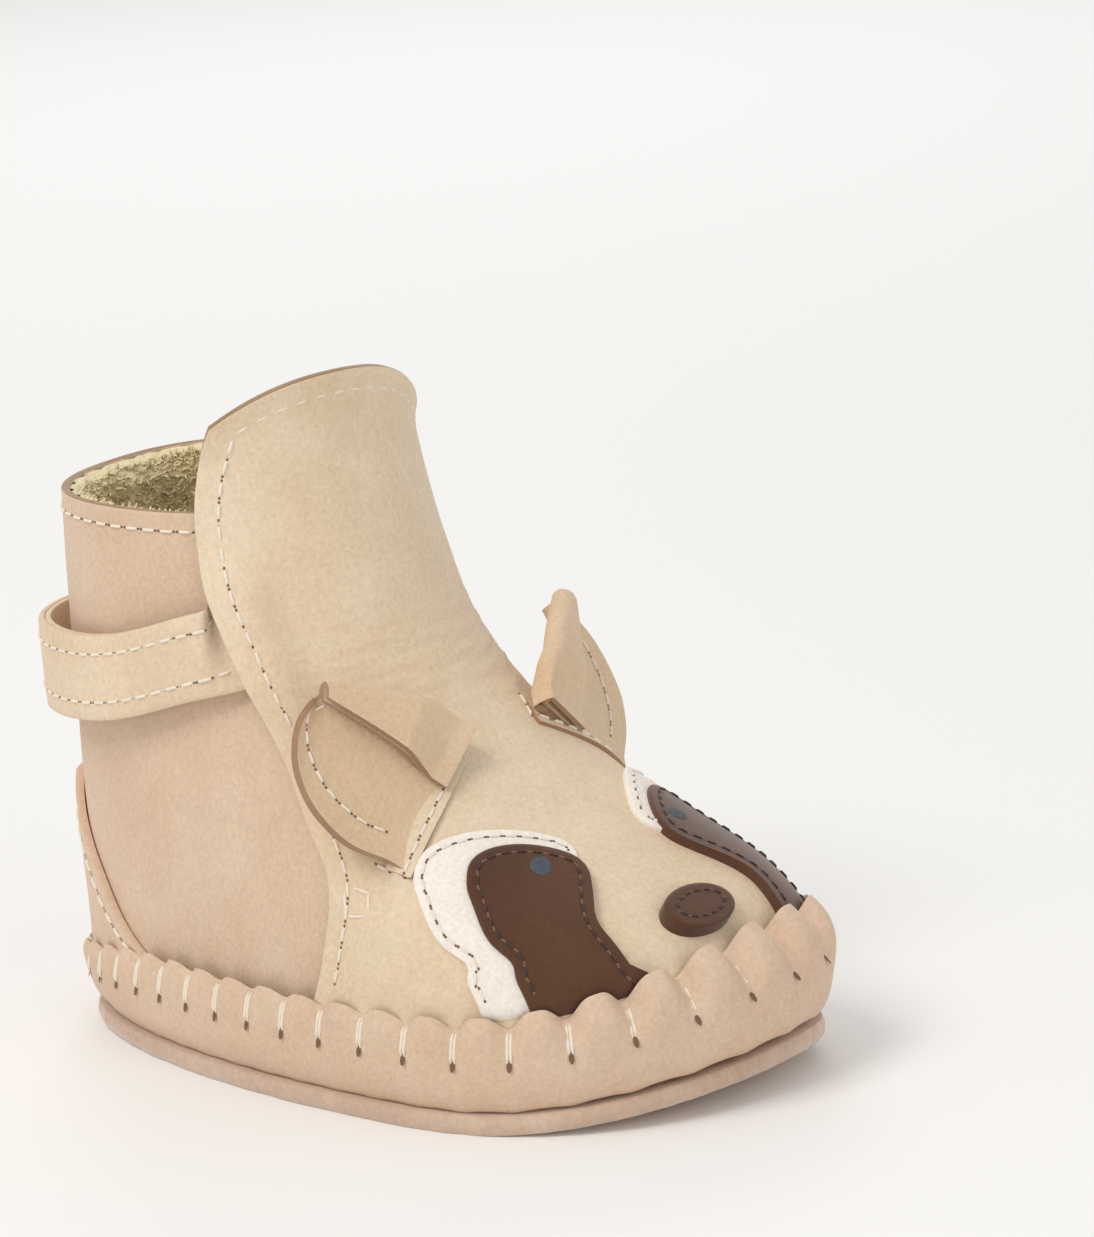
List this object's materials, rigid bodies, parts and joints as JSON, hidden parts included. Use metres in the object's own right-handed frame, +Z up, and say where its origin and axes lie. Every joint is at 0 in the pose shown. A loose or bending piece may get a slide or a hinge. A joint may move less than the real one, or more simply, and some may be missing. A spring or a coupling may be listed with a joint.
{
  "type": "baby bootie",
  "caption": "Soft leather baby bootie with shearling lining, gathered moccasin bottom, animal-face vamp with ears, fold-down tongue and a heel strap with hook-and-loop tab.",
  "frame": {"origin": "on the ground, under the middle of the bounding box of the bootie", "axes": "-Y towards the toe, +Z up, -X towards the outer side of the right foot"},
  "size_m": [0.0718, 0.1318, 0.1095],
  "materials": {
    "nubuck": "nubuck, matt",
    "vamp_leather": "smooth nubuck, matt",
    "white_leather": "smooth",
    "brown_suede": "suede",
    "sole_suede": "split suede",
    "shearling": "wool pile",
    "cream_thread": "waxed thread",
    "brown_thread": "waxed thread",
    "pupil_print": "printed dot",
    "hook_and_loop": "woven nylon tape",
    "insole_board": "felted board"
  },
  "bodies": {
    "root": {"outsole": "sole_suede", "moccasin_bottom": "nubuck", "insole_board": "insole_board", "footbed_fleece": "shearling", "quarter": "nubuck", "quarter_lining": "shearling", "vamp": "vamp_leather", "vamp_lining": "shearling", "heel_patch": "nubuck", "loop_tape": "hook_and_loop", "outer_eye_patch_white": "white_leather", "inner_eye_patch_white": "white_leather", "outer_eye_patch_brown": "brown_suede", "inner_eye_patch_brown": "brown_suede", "nose_patch": "brown_suede", "pupils": "pupil_print", "white_patch_stitches": "cream_thread", "brown_patch_stitches": "brown_thread", "nose_stitches": "brown_thread", "vamp_edge_stitches": "cream_thread", "topline_stitches": "cream_thread", "heel_patch_stitches": "cream_thread", "box_tacks": "cream_thread", "ear_slit_stitches": "cream_thread", "gathering_stitches": "cream_thread"},
    "tongue": {"tongue": "nubuck", "tongue_lining": "shearling", "tongue_stitches": "cream_thread"},
    "strap": {"strap_backing": "nubuck", "strap_face": "nubuck", "strap_stitches": "cream_thread"},
    "strap_tab": {"strap_tab_backing": "nubuck", "strap_tab_face": "nubuck", "hook_tape": "hook_and_loop", "strap_tab_stitches": "cream_thread"},
    "outer_ear": {"outer_ear_back": "nubuck", "outer_ear_front": "nubuck", "outer_ear_stitches": "cream_thread"},
    "inner_ear": {"inner_ear_back": "nubuck", "inner_ear_front": "nubuck", "inner_ear_stitches": "cream_thread"}
  },
  "joints": [
    {"name": "tongue_fold", "type": "hinge", "parent": "root", "child": "tongue", "pos_m": [0, -0.0103, 0.063], "axis": [1, 0, 0], "range_deg": [0, 35]},
    {"name": "strap_swing", "type": "hinge", "parent": "tongue", "child": "strap", "pos_m": [-0.0293, 0.0134, 0.0699], "axis": [0, 0.3905, 0.9206], "range_deg": [0, 70]},
    {"name": "strap_peel", "type": "hinge", "parent": "strap", "child": "strap_tab", "pos_m": [0.0263, 0.0468, 0.062], "axis": [0, 0, 1], "range_deg": [0, 52.5]},
    {"name": "outer_ear_flop", "type": "hinge", "parent": "root", "child": "outer_ear", "pos_m": [-0.01962, -0.01785, 0.04936], "axis": [0.7658, 0.0359, 0.6421], "range_deg": [0, 40]},
    {"name": "inner_ear_flop", "type": "hinge", "parent": "root", "child": "inner_ear", "pos_m": [0.02222, -0.01785, 0.04936], "axis": [0.7658, -0.0359, -0.6421], "range_deg": [0, 40]}
  ],
  "couplings": [
    {"joint": "strap_swing", "follows": "tongue_fold", "ratio": 2},
    {"joint": "strap_peel", "follows": "tongue_fold", "ratio": 1.5}
  ]
}
